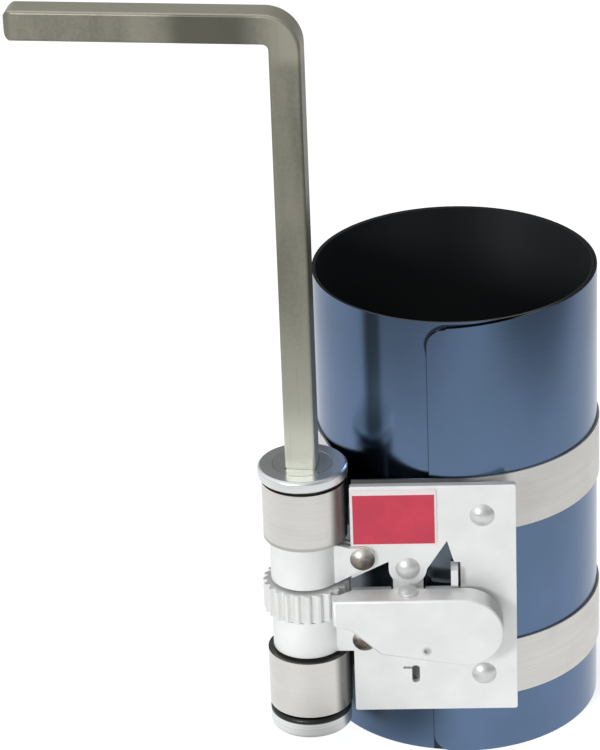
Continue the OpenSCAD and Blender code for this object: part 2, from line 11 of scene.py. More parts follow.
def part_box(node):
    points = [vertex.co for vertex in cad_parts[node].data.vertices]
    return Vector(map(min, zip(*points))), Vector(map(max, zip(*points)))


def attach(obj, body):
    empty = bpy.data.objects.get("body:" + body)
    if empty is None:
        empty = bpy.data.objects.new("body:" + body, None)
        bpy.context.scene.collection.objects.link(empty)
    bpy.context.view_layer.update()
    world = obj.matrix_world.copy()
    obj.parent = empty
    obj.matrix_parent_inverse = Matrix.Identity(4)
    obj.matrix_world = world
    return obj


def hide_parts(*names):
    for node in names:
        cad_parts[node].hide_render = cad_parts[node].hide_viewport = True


bl_info = {
    "name": "Piston Ring Compressor",
    "version": (1, 0, 0),
    "blender": (4, 5, 0),
    "location": "View3D > Sidebar > Compressor",
    "description": "Finishes, studio and camera for a band-type piston ring compressor",
    "category": "Object",
}

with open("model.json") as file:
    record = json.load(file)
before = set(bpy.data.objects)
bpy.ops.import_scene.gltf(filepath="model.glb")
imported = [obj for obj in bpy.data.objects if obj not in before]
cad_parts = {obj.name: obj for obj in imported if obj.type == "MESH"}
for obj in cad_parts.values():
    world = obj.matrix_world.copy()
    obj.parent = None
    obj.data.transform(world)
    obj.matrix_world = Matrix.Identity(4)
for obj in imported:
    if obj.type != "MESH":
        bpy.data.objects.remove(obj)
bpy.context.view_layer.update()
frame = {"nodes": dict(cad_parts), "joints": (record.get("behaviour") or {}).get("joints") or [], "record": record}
MM = 0.001

# Places of the pieces that the finishes follow
SLEEVE_LOW, SLEEVE_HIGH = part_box("sleeve")
LABEL_LOW, LABEL_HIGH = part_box("label_plate")
PLATE_LOW, PLATE_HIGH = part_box("ratchet_plate")
LEVER_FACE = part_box("release_lever")[0].y
CAP_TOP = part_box("top_cap")[1].z
FOOT_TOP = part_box("bottom_cap")[1].z
KEY_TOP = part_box("key")[1].z
COIL_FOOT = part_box("upper_band_coil")[0].z
SPINDLE_AXIS = next(joint["pos_m"] for joint in frame["joints"] if joint["name"] == "spindle_turn")
SPINDLE_X, SPINDLE_Y = SPINDLE_AXIS[:2]
AXIS_FOOT = (SPINDLE_X, SPINDLE_Y, 0.0)

# Middle of the punch mark on the lever's face, in X and Z, and how far the mark reaches
PUNCH_MARK = (-0.0069, 0.0304)
PUNCH_REACH = 1 * MM
# Way that the skirt of the lever's thumb end faces where the painted shadow on it is darkest
SKIRT_WAY = (0.87, 0.0, 0.5)
# Where the sleeve's outer lap ends, and the fall, slope and rounded corner of its upper edge there
SEAM_ANGLE = math.radians(259 - 360)
LAP_DROP = 1.4 * MM
LAP_RISE = 1.4 / 20
LAP_CORNER = 4 * MM

# Cleaning of a solid's mesh, and the turns at which an edge is rounded or shaded sharp
WELD_GAP = 0.002 * MM
FLAT_TURN = math.radians(0.4)
ROUNDED_TURN = math.radians(35)
SHARP_TURN = math.radians(38)

# Place, aim and size of the lamps, the floor's reach and the camera's sensor
MAIN_LAMP = ((-0.42, -0.70, 0.30), (0.0, 0.0, 0.06), 0.16)
FILL_LAMP = ((0.65, -0.25, 0.45), (0.0, 0.0, 0.05), 0.5)
FLOOR_REACH = 3.0
SENSOR_HEIGHT = 36.0
# Ways to the ends of the paper and to the dark parts of the sky, and the middle of the spindle's shadow
PAPER_RIGHT = (0.927, -0.375, 0.0)
PAPER_LEFT = (-0.616, -0.788, 0.0)
SKY_RIGHT = (0.94, -0.34, 0.0)
SKY_BACK = (0.0, 0.87, 0.49)
SHADOW_MIDDLE = (SPINDLE_X + 4 * MM, SPINDLE_Y - 12 * MM, 0.0)

WHITE = (1.0, 1.0, 1.0, 1.0)
# Scales that keep X and Y of a vector, or X and Z
LEVEL = (1.0, 1.0, 0.0)
UPRIGHT = (1.0, 0.0, 1.0)


# Shader helpers

class Wire:
    """A shader socket. Arithmetic on it adds Math nodes to its material."""

    def __init__(self, net, socket):
        self.net = net
        self.socket = socket

    def __add__(self, other):
        return self.net.math("ADD", self, other)

    def __radd__(self, other):
        return self.net.math("ADD", other, self)

    def __sub__(self, other):
        return self.net.math("SUBTRACT", self, other)

    def __rsub__(self, other):
        return self.net.math("SUBTRACT", other, self)

    def __mul__(self, other):
        return self.net.math("MULTIPLY", self, other)

    def __rmul__(self, other):
        return self.net.math("MULTIPLY", other, self)

    def __neg__(self):
        return self.net.math("SUBTRACT", 0.0, self)

    def __abs__(self):
        return self.net.math("ABSOLUTE", self)

    def smooth(self, low, high):
        """0 below low, 1 above high and a soft step between them."""
        return self.net.add("ShaderNodeMapRange", {"interpolation_type": "SMOOTHSTEP"},
                            {"Value": self, "From Min": low, "From Max": high}, "Result")


class Net:
    """A node tree that is written as Python expressions."""

    def __init__(self, tree):
        self.tree = tree
        self.tree.nodes.clear()

    def add(self, kind, settings=None, sockets=None, output=0):
        """Adds a node: its settings first, then the values or links of its sockets. Gives back one output."""
        node = self.tree.nodes.new(kind)
        for name, value in (settings or {}).items():
            setattr(node, name, value)
        for name, value in (sockets or {}).items():
            if isinstance(value, Wire):
                self.tree.links.new(value.socket, node.inputs[name])
            else:
                node.inputs[name].default_value = value
        return Wire(self, node.outputs[output]) if node.outputs else None

    def math(self, operation, first, second=0.0):
        """A Math node."""
        return self.add("ShaderNodeMath", {"operation": operation}, {0: first, 1: second})

    def larger(self, first, second):
        """The larger of two values."""
        return self.math("MAXIMUM", first, second)

    def vector(self, operation, first, second=(0.0, 0.0, 0.0), output="Vector"):
        """A Vector Math node."""
        return self.add("ShaderNodeVectorMath", {"operation": operation}, {0: first, 1: second}, output)

    def stretched(self, vector, along):
        """A vector scaled by its own amount along each axis."""
        return self.vector("MULTIPLY", vector, along)

    def dot(self, vector, way):
        """How far a vector reaches along a way."""
        return self.vector("DOT_PRODUCT", vector, way, "Value")

    def length(self, vector):
        """The length of a vector."""
        return self.vector("LENGTH", vector, output="Value")

    def parts(self, vector):
        """The three numbers of a vector."""
        first = self.add("ShaderNodeSeparateXYZ", sockets={0: vector})
        return [Wire(self, socket) for socket in first.socket.node.outputs]

    def joined(self, first, second):
        """A vector with two numbers as its X and Y."""
        return self.add("ShaderNodeCombineXYZ", sockets={0: first, 1: second})

    def blend(self, factor, low, high):
        """A colour between two, by a factor."""
        return self.add("ShaderNodeMix", {"data_type": "RGBA"}, {0: factor, 6: low, 7: high}, 2)

    def place(self):
        """The point on the piece, in metres, in the piece's own frame."""
        return self.add("ShaderNodeTexCoord", output="Object")

    def facing(self):
        """The surface's direction in the piece's own frame."""
        return self.add("ShaderNodeTexCoord", output="Normal")

    def upward(self):
        """How far the surface faces up, from -1 to 1."""
        return self.parts(self.facing())[2]

    def noise(self, vector, scale, detail=3.0, roughness=0.55):
        """Cloudy noise from 0 to 1, with one scale or its own scale along each axis."""
        if isinstance(scale, tuple):
            vector = self.stretched(vector, scale)
            scale = 1.0
        sockets = {"Vector": vector, "Scale": scale, "Detail": detail, "Roughness": roughness}
        return self.add("ShaderNodeTexNoise", sockets=sockets, output="Fac")

    def bump(self, height, depth):
        """A surface direction that follows a height of 0 to 1, with a depth in metres."""
        return self.add("ShaderNodeBump", sockets={"Height": height, "Distance": depth})

    def rays(self):
        """1 where the camera looks straight at a surface, and 1 where metal or glass shows it."""
        ray = self.add("ShaderNodeLightPath").socket.node.outputs
        mirrored = Wire(self, ray["Is Glossy Ray"]) + Wire(self, ray["Is Transmission Ray"])
        return Wire(self, ray["Is Camera Ray"]), mirrored


def colour(value):
    """A colour property as four numbers."""
    return (value[0], value[1], value[2], 1.0)


def shade(value, amount):
    """A colour made lighter or darker."""
    return tuple(min(1.0, part * amount) for part in value[:3]) + (1.0,)


def new_material(name):
    """A fresh material and the net of its nodes."""
    old = bpy.data.materials.get(name)
    if old:
        bpy.data.materials.remove(old)
    material = bpy.data.materials.new(name)
    material.use_nodes = True
    return material, Net(material.node_tree)


def close_surface(net, **sockets):
    """The main shader of a finish: names in plain words become the shader's own sockets."""
    named = {name.replace("_", " ").title(): value for name, value in sockets.items()}
    surface = net.add("ShaderNodeBsdfPrincipled", sockets=named)
    net.add("ShaderNodeOutputMaterial", sockets={"Surface": surface})


# Pieces

def dress(node, material):
    """Gives a node its finish."""
    slots = frame["nodes"][node].data.materials
    slots.clear()
    slots.append(material)


def body_of(node):
    """The body that a node belongs to."""
    return next(body for body, nodes in frame["record"]["behaviour"]["bodies"].items() if node in nodes)


def solid_mesh(node):
    """A node's solid as one welded mesh with whole flat faces."""
    mesh = bmesh.new()
    mesh.from_mesh(frame["nodes"][node].data)
    bmesh.ops.remove_doubles(mesh, verts=mesh.verts, dist=WELD_GAP)
    bmesh.ops.dissolve_limit(mesh, angle_limit=FLAT_TURN, verts=mesh.verts, edges=mesh.edges)
    return mesh


def sharp_edges(mesh, chosen=lambda edge: True):
    """The edges at which a mesh turns sharply, or those of them that are chosen."""
    return [edge for edge in mesh.edges
            if len(edge.link_faces) == 2 and edge.calc_face_angle() > ROUNDED_TURN and chosen(edge)]


def round_edges(mesh, edges, radius, segments):
    """Rounds edges of a mesh."""
    if not edges:
        raise RuntimeError("There is no sharp edge to round")
    bmesh.ops.bevel(mesh, geom=edges, offset=radius, offset_type="OFFSET", segments=segments, profile=0.5,
                    affect="EDGES", clamp_overlap=True)


def stand_for(node, mesh, material):
    """Makes a mesh the piece that is shown for a node."""
    data = bpy.data.meshes.new(node + "_dressed")
    mesh.to_mesh(data)
    mesh.free()
    data.shade_smooth()
    data.set_sharp_from_angle(angle=SHARP_TURN)
    data.materials.append(material)
    piece = bpy.data.objects.new(node + "_dressed", data)
    bpy.context.scene.collection.objects.link(piece)
    weighted = piece.modifiers.new("even_shading", "WEIGHTED_NORMAL")
    weighted.keep_sharp = True
    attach(piece, body_of(node))
    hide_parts(node)


def soften(node, radius, material, segments=2):
    """Shows a node with its sharp edges rounded."""
    mesh = solid_mesh(node)
    round_edges(mesh, sharp_edges(mesh), radius, segments)
    stand_for(node, mesh, material)


# Settings

def colour_setting(name, description, default):
    """A colour that a user can change."""
    return bpy.props.FloatVectorProperty(name=name, description=description, default=default, size=3,
                                         subtype="COLOR", min=0.0, max=1.0)


def length_setting(name, description, default):
    """A length in metres."""
    return bpy.props.FloatProperty(name=name, description=description, default=default, unit="LENGTH",
                                   precision=5)


def place_setting(name, description, default):
    """A point in the frame, in metres."""
    return bpy.props.FloatVectorProperty(name=name, description=description, default=default,
                                         subtype="TRANSLATION", unit="LENGTH", precision=5)


def angle_setting(name, description, degrees):
    """An angle, written in degrees."""
    return bpy.props.FloatProperty(name=name, description=description, default=math.radians(degrees),
                                   subtype="ANGLE")


def power_setting(name, description, default):
    """A lamp's power in watts."""
    return bpy.props.FloatProperty(name=name, description=description, default=default, subtype="POWER")


def share_setting(name, description, default):
    """A share from 0 to 1."""
    return bpy.props.FloatProperty(name=name, description=description, default=default, subtype="FACTOR",
                                   min=0.0, max=1.0)


class FinishSettings(bpy.types.PropertyGroup):
    """Colours of the compressor's finishes."""

    blue: colour_setting("Blued steel", "Glossy blue of the sleeve", (0.118, 0.184, 0.292))
    blue_temper: colour_setting("Temper clouds", "Violet blue of the sleeve's clouds", (0.121, 0.180, 0.305))
    # Black of the sleeve's inside, and the dark tone of the painted shade on the sleeve, bands and coils
    inside_and_shade_black: colour_setting("Sleeve inside", "Black oxide inside the sleeve", (0.017, 0.020, 0.022))
    blue_edge: colour_setting("Sleeve edge", "Cut edges of the sleeve's strip", (0.05, 0.06, 0.07))
    # Paler tone along the front of the rim's cut edge
    blue_rim_front: colour_setting("Worn edge", "Front of the rim, worn bright", (0.30, 0.34, 0.38))
    # Tone of the painted shade on the sleeve behind the plate's window
    blue_shade: colour_setting("Sleeve oil", "Grey oil behind the plate's window", (0.10, 0.112, 0.108))
    band: colour_setting("Band steel", "Bare rolled strip of the bands", (0.72, 0.705, 0.675))
    zinc: colour_setting("Zinc", "Bright zinc plating of the plate, knuckles and lever", (0.92, 0.935, 0.93))
    rivet: colour_setting("Rivet steel", "Plated rivets and pin", (0.74, 0.75, 0.75))
    rivet_brown: colour_setting("Browned rivet", "Plain rivets of the knuckles", (0.19, 0.165, 0.135))
    # Painted highlight on the crown of the browned rivets
    rivet_crown_highlight: colour_setting("Worn rivet", "Bare crown of the browned rivets", (0.62, 0.60, 0.56))
    spindle: colour_setting("Spindle steel", "Turned steel of the top cap", (0.80, 0.83, 0.83))
    cap_low: colour_setting("Bottom cap", "Turned steel of the bottom cap", (0.84, 0.86, 0.845))
    # Also the painted shade along the top of the bottom cap, under the lower coil
    barrel: colour_setting("Barrel", "Oiled steel of the spindle's barrel", (0.035, 0.038, 0.04))
    ratchet: colour_setting("Ratchet steel", "Plated ratchet wheel", (0.86, 0.87, 0.86))
    wire: colour_setting("Spring wire", "Drawn wire of the lever's spring", (0.20, 0.21, 0.22))
    key: colour_setting("Key steel", "Olive grey bar of the key", (0.215, 0.21, 0.168))
    key_bright: colour_setting("Key polish", "Bright end of the key at its socket", (0.66, 0.67, 0.58))
    label: colour_setting("Label red", "Red field of the label", (0.60, 0.045, 0.085))
    label_border: colour_setting("Label border", "Pale border of the label", (0.92, 0.86, 0.86))


class EdgeSettings(bpy.types.PropertyGroup):
    """Roundings of the compressor's edges, and the label's border."""

    plate: length_setting("Plate edge", "Rounding of the plate's edges", 0.22 * MM)
    knuckle: length_setting("Knuckle edge", "Rounding of the knuckles' edges", 0.18 * MM)
    lever_rim: length_setting("Lever rim", "Rounding of the rim of the lever's face", 0.55 * MM)
    ratchet: length_setting("Tooth edge", "Rounding of the ratchet wheel's edges", 0.07 * MM)
    cap: length_setting("Cap edge", "Rounding of the caps' edges", 0.15 * MM)
    label_side: length_setting("Label side", "Pale border at the label's sides and foot", 0.35 * MM)
    label_head: length_setting("Label head", "Pale border along the label's top", 1.1 * MM)


class StudioSettings(bpy.types.PropertyGroup):
    """Camera and light."""

    camera_place: place_setting("Camera place", "Where the camera stands", (0.0, -0.6894, 0.4124))
    camera_aim: place_setting("Camera aim", "Point in the middle of the picture", (-0.03316, 0.0, 0.07601))
    camera_roll: angle_setting("Camera roll", "Turn of the camera about its own axis", -2.21)
    lens: bpy.props.FloatProperty(name="Lens", description="Focal length on a 36 mm high sensor",
                                  default=172.2, unit="CAMERA")
    sky: share_setting("Sky", "Strength of the light from all round", 0.62)
    sky_dark: share_setting("Dark sky", "Share of that light on the right and behind", 0.2)
    key_light: power_setting("Main light", "Power of the main lamp", 3.1)
    fill_light: power_setting("Fill light", "Power of the fill lamp", 0.4)
    floor: colour_setting("Floor", "Pale paper under the object", (0.80, 0.80, 0.80))
    right_edge: length_setting("Right paper edge", "The paper's right end, from the sleeve's axis", 0.165)
    left_edge: length_setting("Left paper edge", "The paper's left end, from the sleeve's axis", 0.17)


class CompressorSettings(bpy.types.PropertyGroup):
    """All settings of the compressor's scene."""

    finish: bpy.props.PointerProperty(type=FinishSettings, name="Finishes",
                                      description="Colours of the finishes")
    edge: bpy.props.PointerProperty(type=EdgeSettings, name="Edges", description="Roundings of the edges")
    studio: bpy.props.PointerProperty(type=StudioSettings, name="Studio", description="Camera and light")


def settings():
    """The scene's settings of the compressor."""
    return bpy.context.scene.compressor


# Finishes

def lap_painted_shadow(net, across, along, height, radius):
    """1 on the painted shadow line along the outer lap's end and upper edge, thickest at the lap's corner."""
    past_seam = net.math("ARCTAN2", along, across) - SEAM_ANGLE
    over_edge = height - (SLEEVE_HIGH.z - LAP_DROP) - past_seam * (SLEEVE_HIGH.x * LAP_RISE)
    corner = net.joined(net.larger(LAP_CORNER - past_seam * SLEEVE_HIGH.x, 0.0),
                        net.larger(LAP_CORNER + over_edge, 0.0))
    past_lap = net.length(corner) - LAP_CORNER
    thick = (1.0 - past_seam.smooth(0.1, 0.4)) * over_edge.smooth(-7 * MM, -3 * MM)
    line = 1.0 - (past_lap - thick * (0.45 * MM)).smooth(0.12 * MM, 0.42 * MM)
    under_lap = 1.0 - radius.smooth(SLEEVE_HIGH.x - 0.5 * MM, SLEEVE_HIGH.x - 0.4 * MM)
    return line * under_lap * (1.0 - past_seam.smooth(0.9, 1.1))


def plate_painted_shade(net, finish, across, along, height):
    """How far painted shade darkens the sleeve behind the plate and under its left corner, and the shade's tone.
    """
    past_left = across - PLATE_LOW.x
    over_foot = height - PLATE_LOW.z
    under_head = PLATE_HIGH.z - height
    left = past_left.smooth(-4 * MM, -2 * MM)
    behind = left * (PLATE_HIGH.x - across).smooth(0.0, 2 * MM)
    behind = behind * over_foot.smooth(0.0, 2 * MM) * under_head.smooth(0.0, 2 * MM)
    below = over_foot.smooth(-9.5 * MM, -5.5 * MM) * (-over_foot).smooth(-2 * MM, 0.0)
    below = below * left * (1.0 - past_left.smooth(3 * MM, 9 * MM))
    plate_shade = (0.8 * behind + 0.75 * below) * (-along).smooth(0.0, 10 * MM)
    dark = net.larger(1.0 - under_head.smooth(10 * MM, 16 * MM), below)
    return plate_shade, net.blend(dark, colour(finish.blue_shade), colour(finish.inside_and_shade_black))


def blued_steel(finish):
    """Glossy blued strip: temper clouds, rolling streaks, painted shade behind the plate and along the lap's edge,
    cut edges that are paler at the front of the rim, and a black inside.
    """
    material, net = new_material("blued_steel")
    place = net.place()
    across, along, height = net.parts(place)
    flat = net.stretched(place, LEVEL)
    outward = net.dot(net.facing(), net.vector("NORMALIZE", flat))
    inside = (-outward).smooth(0.3, 0.6)
    cut_edge = 1.0 - abs(outward).smooth(0.35, 0.6)
    clouds = net.noise(place, (60.0, 60.0, 34.0))
    streaks = net.noise(place, (40.0, 40.0, 1800.0), 2.0)
    blue = net.blend(clouds.smooth(0.3, 0.7), shade(finish.blue, 0.9), colour(finish.blue_temper))
    blue = net.blend(streaks.smooth(0.35, 0.8) * 0.12, blue, shade(finish.blue, 1.2))
    # Painted shadow along the outer lap's end and upper edge
    lap_shadow_line = lap_painted_shadow(net, across, along, height, net.length(flat))
    blue = net.blend(lap_shadow_line * 0.85, blue, colour(finish.inside_and_shade_black))
    # Painted shade on the sleeve behind the plate and under its left corner
    plate_shade, plate_shade_tone = plate_painted_shade(net, finish, across, along, height)
    blue = net.blend(plate_shade, blue, plate_shade_tone)
    skin = net.blend(inside, blue, colour(finish.inside_and_shade_black))
    # Paler along the front of the rim's cut edge
    lightened = (-along).smooth(18 * MM, 27 * MM) * height.smooth(SLEEVE_HIGH.z - 0.4 * MM, SLEEVE_HIGH.z)
    skin = net.blend(cut_edge, skin, net.blend(lightened, colour(finish.blue_edge), colour(finish.blue_rim_front)))
    rough = 0.15 + 0.05 * clouds + 0.04 * streaks + 0.3 * inside + 0.12 * cut_edge
    fine = net.bump(streaks + 0.6 * clouds, 0.003 * MM)
    close_surface(net, base_color=skin, metallic=1.0 - 0.75 * inside, roughness=rough, normal=fine)
    return material


def run_painted_shade(net, place):
    """How far painted shade darkens a band's free run: behind the plate, and close to the spindle."""
    across, along, _ = net.parts(place)
    behind = (PLATE_HIGH.x - across).smooth(4 * MM, 12 * MM) * (-along).smooth(27 * MM, 29 * MM)
    from_axis = net.vector("SUBTRACT", net.stretched(place, LEVEL), AXIS_FOOT)
    return 0.85 * net.larger(behind, 1.0 - net.length(from_axis).smooth(10 * MM, 19 * MM))


def coil_painted_shade(net, place):
    """How far painted shade darkens a coil: its ends, its side at the plate, and a line at the upper coil's foot.
    """
    across, _, height = net.parts(place)
    ends = abs(net.upward()).smooth(0.5, 0.8)
    side = (across - SPINDLE_X).smooth(5.3 * MM, 7.0 * MM)
    foot = 0.45 - 0.45 * abs(height - COIL_FOOT).smooth(0.5 * MM, 0.9 * MM)
    return 0.72 * net.larger(net.larger(side, ends), foot)


def band_steel(name, finish, painted_shade, rough):
    """Bare rolled strip with fine lines along its length, duller patches and the painted shade that it is given.
    """
    material, net = new_material(name)
    place = net.place()
    lines = net.noise(place, (30.0, 30.0, 5200.0), 2.0)
    patches = net.noise(place, (120.0, 120.0, 160.0), 4.0)
    tone = net.blend(lines.smooth(0.3, 0.75), shade(finish.band, 0.95), shade(finish.band, 1.04))
    tone = net.blend(patches.smooth(0.45, 0.75) * 0.3, tone, shade(finish.band, 0.84))
    tone = net.blend(painted_shade(net, place), tone, colour(finish.inside_and_shade_black))
    close_surface(net, base_color=tone, metallic=0.9, roughness=rough + 0.12 * patches + 0.06 * lines,
                  normal=net.bump(lines, 0.003 * MM))
    return material


def lever_painted_shade(net, place, tone, base):
    """Painted shade: darkens the ring of the punch mark and the skirt of the lever's thumb end."""
    from_mark = net.vector("SUBTRACT", place, (PUNCH_MARK[0], 0.0, PUNCH_MARK[1]))
    ring = 1.0 - net.length(net.stretched(from_mark, UPRIGHT)).smooth(0.5 * MM, 1.3 * MM)
    tone = net.blend(ring * 0.6, tone, shade(base, 0.4))
    skirt = net.dot(net.facing(), SKIRT_WAY).smooth(0.85, 0.98)
    return net.blend(skirt * 0.6, tone, shade(base, 0.3))


def plated(name, base, grain=1.0, dull=0.0, painted_shade=None):
    """Zinc plating: faint crystal mottle, cloudy sheen, small handling marks and, where it is given, painted
    shade.
    """
    material, net = new_material(name)
    place = net.place()
    mottle = net.noise(place, 900.0 * grain, 4.0)
    clouds = net.noise(place, 130.0)
    marks = net.noise(place, (700.0, 700.0, 180.0), 5.0, 0.7).smooth(0.66, 0.74)
    tone = net.blend(clouds.smooth(0.25, 0.8), shade(base, 0.94), shade(base, 1.03))
    tone = net.blend(marks * 0.22, tone, shade(base, 0.62))
    if painted_shade is not None:
        tone = painted_shade(net, place, tone, base)
    rough = 0.36 + dull + 0.14 * clouds + 0.08 * mottle
    fine = net.bump(mottle + 0.5 * clouds, 0.012 * MM)
    close_surface(net, base_color=tone, metallic=0.5, roughness=rough, normal=fine)
    return material


def browned_steel(finish):
    """Plain rivet steel with a thin brown film, and a painted highlight on the crown where it faces up."""
    material, net = new_material("rivet_brown")
    film = net.noise(net.place(), 420.0, 4.0)
    # Painted highlight: the crown is lighter where it faces up
    lightened = (net.upward() + 0.8 * film).smooth(0.35, 1.0)
    tone = net.blend(film.smooth(0.35, 0.7), shade(finish.rivet_brown, 0.6), shade(finish.rivet_brown, 1.5))
    tone = net.blend(lightened, tone, colour(finish.rivet_crown_highlight))
    close_surface(net, base_color=tone, metallic=0.85, roughness=0.24 + 0.2 * film,
                  normal=net.bump(film, 0.02 * MM))
    return material


def turned_steel(name, base, upper=None, upper_from=0.0):
    """Turned steel with fine rings; it can have another tone above a height."""
    material, net = new_material(name)
    place = net.place()
    height = net.parts(place)[2]
    radius = net.length(net.stretched(net.vector("SUBTRACT", place, AXIS_FOOT), LEVEL))
    rings = net.noise(net.joined(radius, height), 3400.0, 2.0)
    film = net.noise(place, 260.0, 4.0)
    tone = net.blend(rings.smooth(0.3, 0.7), shade(base, 0.86), shade(base, 1.08))
    if upper is not None:
        above = height.smooth(upper_from - 0.3 * MM, upper_from + 0.1 * MM)
        tone = net.blend(above, tone, colour(upper))
    rough = 0.26 + 0.12 * film - 0.1 * net.upward().smooth(0.8, 0.95)
    close_surface(net, base_color=tone, metallic=0.9, roughness=rough, normal=net.bump(rings, 0.004 * MM))
    return material


def key_steel(finish):
    """Drawn square bar: draw lines, olive film, a painted dark reflection on the handle, painted highlights on the
    bend and the top facets, and an end that gets lighter towards the socket.
    """
    material, net = new_material("key_steel")
    place = net.place()
    across, _, height = net.parts(place)
    past_leg = across - SPINDLE_X
    film = net.noise(place, (150.0, 150.0, 46.0), 4.0)
    lines = net.noise(place, (2600.0, 2600.0, 60.0), 2.0)
    grain = net.noise(place, 1500.0)
    on_handle = height.smooth(KEY_TOP - 12 * MM, KEY_TOP - 8 * MM)
    # Painted dark reflection on the handle, before the bend
    handle_reflection = on_handle * past_leg.smooth(-26 * MM, -20 * MM) * (1.0 - past_leg.smooth(-10 * MM, -4 * MM))
    # Painted highlight on the bend
    bend_highlight = on_handle * past_leg.smooth(-5 * MM, 0.0)
    # Painted highlight: the top facets are lighter
    upward = net.upward().smooth(0.5, 0.9)
    # Lighter towards the socket end
    lightened = 1.0 - (height + 0.014 * film).smooth(CAP_TOP + 14 * MM, CAP_TOP + 50 * MM)
    near_socket = 1.0 - height.smooth(CAP_TOP + 4 * MM, CAP_TOP + 16 * MM)
    olive = net.blend(film.smooth(0.3, 0.7), shade(finish.key, 0.88), shade(finish.key, 1.2))
    olive = net.blend(grain.smooth(0.3, 0.7) * 0.3, olive, shade(finish.key, 1.5))
    olive = net.blend(handle_reflection * 0.9, olive, shade(finish.key, 0.5))
    olive = net.blend(bend_highlight * 0.8, olive, shade(finish.key, 1.8))
    olive = net.blend(upward, olive, shade(finish.key, 2.6))
    tone = net.blend(lightened * 0.7, olive, shade(finish.key_bright, 0.75))
    tone = net.blend(near_socket * 0.9, tone, colour(finish.key_bright))
    tone = net.blend(lines.smooth(0.55, 0.8) * 0.18, tone, shade(finish.key, 0.55))
    close_surface(net, base_color=tone, metallic=0.7 - 0.5 * upward, roughness=0.36 + 0.16 * film,
                  normal=net.bump(lines + film + grain, 0.012 * MM))
    return material


def drawn_wire(finish):
    """Drawn spring wire, lightly oiled."""
    material, net = new_material("spring_wire")
    film = net.noise(net.place(), 700.0)
    tone = net.blend(film, shade(finish.wire, 0.75), shade(finish.wire, 1.25))
    close_surface(net, base_color=tone, metallic=0.9, roughness=0.26 + 0.15 * film)
    return material


def label_film(finish, side, head):
    """Red label film with a pale border and a plain field."""
    material, net = new_material("label_red")
    place = net.place()
    across, _, height = net.parts(place)
    soft = 0.06 * MM
    field = (across - LABEL_LOW.x).smooth(side, side + soft)
    field = field * (LABEL_HIGH.x - across).smooth(side, side + soft)
    field = field * (height - LABEL_LOW.z).smooth(side, side + soft)
    field = field * (LABEL_HIGH.z - height).smooth(head, head + soft)
    print_grain = net.noise(place, 2200.0, 2.0)
    fade = net.noise(place, 160.0)
    red = net.blend(fade.smooth(0.3, 0.8), colour(finish.label), shade(finish.label, 1.25))
    red = net.blend(print_grain * 0.2, red, shade(finish.label, 0.8))
    tone = net.blend(field, colour(finish.label_border), red)
    close_surface(net, base_color=tone, roughness=0.34 + 0.12 * fade,
                  normal=net.bump(print_grain, 0.003 * MM))
    return material


def paper(studio):
    """Pale paper: white to the camera, with the object's shadow; reflections also show where it ends."""
    material, net = new_material("paper")
    camera_ray, mirror_ray = net.rays()
    place = net.place()
    right = net.dot(place, PAPER_RIGHT).smooth(studio.right_edge, studio.right_edge + 80 * MM)
    left = net.dot(place, PAPER_LEFT).smooth(studio.left_edge, studio.left_edge + 65 * MM)
    far = net.length(place).smooth(180 * MM, 215 * MM)
    shadow = 1.0 - net.length(net.vector("SUBTRACT", place, SHADOW_MIDDLE)).smooth(8 * MM, 30 * MM)
    level = (1.0 - 0.14 * far) * (1.0 - 0.75 * right) * (1.0 - 0.5 * left) * (1.0 - 0.65 * shadow)
    mirrored = net.add("ShaderNodeEmission", sockets={"Color": level})
    diffuse = net.add("ShaderNodeBsdfDiffuse", sockets={"Color": colour(studio.floor)})
    glow = net.add("ShaderNodeEmission", sockets={"Color": camera_ray * 0.72})
    lit = net.add("ShaderNodeAddShader", sockets={0: diffuse, 1: glow})
    surface = net.add("ShaderNodeMixShader", sockets={0: mirror_ray, 1: lit, 2: mirrored})
    net.add("ShaderNodeOutputMaterial", sockets={"Surface": surface})
    return material


# Stage

def make_floor(studio):
    """Lays the paper under the compressor."""
    mesh = bmesh.new()
    bmesh.ops.create_grid(mesh, x_segments=8, y_segments=8, size=FLOOR_REACH)
    data = bpy.data.meshes.new("floor")
    mesh.to_mesh(data)
    mesh.free()
    data.materials.append(paper(studio))
    floor = bpy.data.objects.new("floor", data)
    floor.location.z = SLEEVE_LOW.z
    bpy.context.scene.collection.objects.link(floor)


def make_sky(scene, studio):
    """Lights the scene from all round: white to the camera, and darker on the right and behind."""
    world = bpy.data.worlds.new("studio")
    world.use_nodes = True
    scene.world = world
    net = Net(world.node_tree)
    camera_ray, mirror_ray = net.rays()
    way = net.add("ShaderNodeTexCoord", output="Generated")
    right = net.dot(way, SKY_RIGHT).smooth(0.0, 0.8)
    back = net.dot(way, SKY_BACK).smooth(0.55, 0.9)
    dark = net.larger(right, back) * (1.0 - studio.sky_dark)
    level = studio.sky + (1.0 - studio.sky) * mirror_ray
    strength = net.larger(camera_ray, level * (1.0 - dark))
    sky = net.add("ShaderNodeBackground", sockets={"Color": WHITE, "Strength": strength})
    net.add("ShaderNodeOutputWorld", sockets={"Surface": sky})


def make_lamp(scene, name, setup, power):
    """Hangs a soft square lamp with a place, an aim and a size."""
    place, aim, size = setup
    data = bpy.data.lights.new(name, "AREA")
    data.size = size
    data.energy = power
    light = bpy.data.objects.new(name, data)
    light.location = place
    light.rotation_euler = (Vector(aim) - Vector(place)).to_track_quat("-Z", "Y").to_euler()
    scene.collection.objects.link(light)


